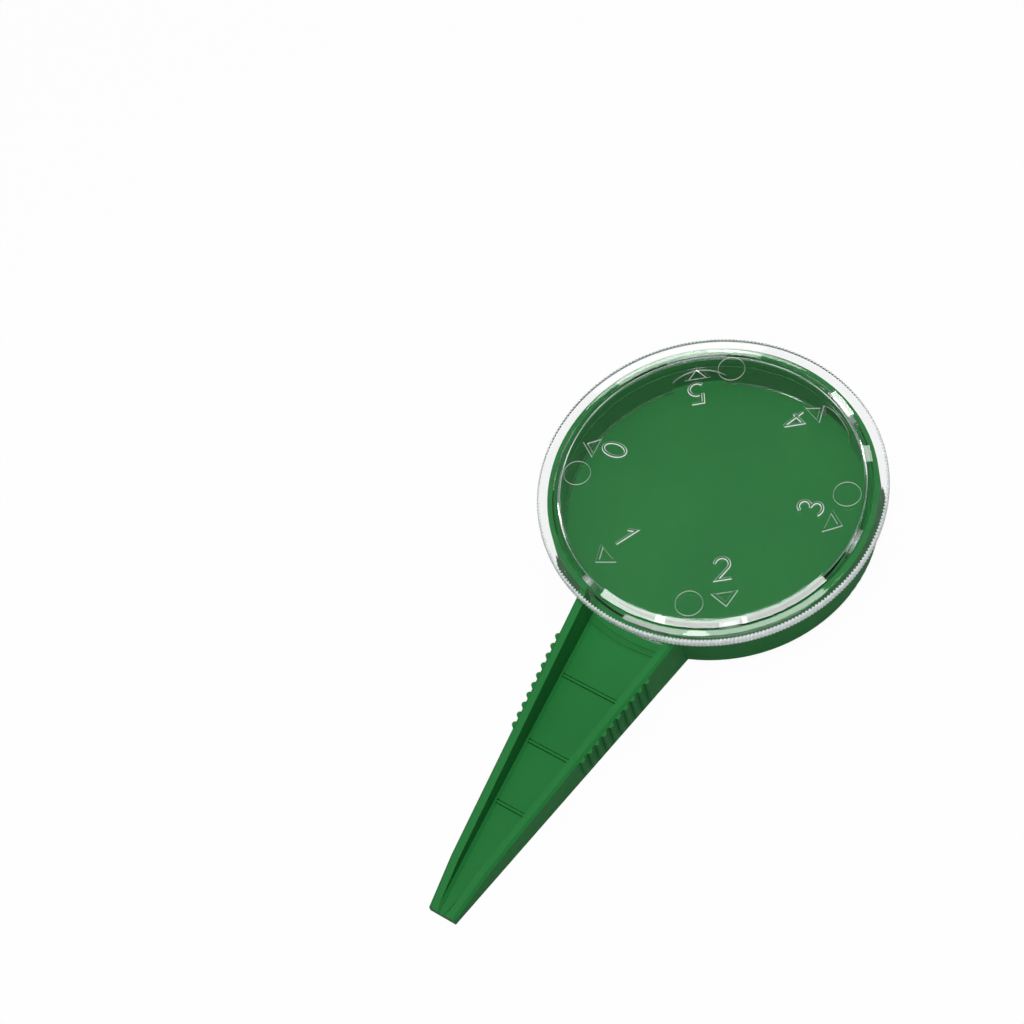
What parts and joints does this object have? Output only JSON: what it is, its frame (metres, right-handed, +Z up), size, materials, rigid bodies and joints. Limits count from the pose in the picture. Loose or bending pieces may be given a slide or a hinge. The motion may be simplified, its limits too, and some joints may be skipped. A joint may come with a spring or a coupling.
{
  "type": "dial seed sower",
  "caption": "Hand seed sower: round hopper tray with a tapering open chute, and a clear dial lid whose skirt gates meter the seed.",
  "frame": {"origin": "on the dial's turning axis, in the plane of the tray's flat underside", "axes": "+Z up along the dial axis, +X along the chute towards its tip, +Y across the chute"},
  "size_m": [0.1285, 0.067, 0.0132],
  "materials": {
    "tray_green": "moulded green plastic with a soft satin gloss",
    "lid_clear": "clear moulded plastic, polished, with a finely knurled rim"
  },
  "bodies": {
    "tray": {"seed_tray": "tray_green"},
    "dial": {"dial_lid": "lid_clear"}
  },
  "joints": [
    {"name": "dial_turn", "type": "hinge", "parent": "tray", "child": "dial", "pos_m": [0, 0, 0], "axis": [0, 0, 1], "continuous": true}
  ]
}
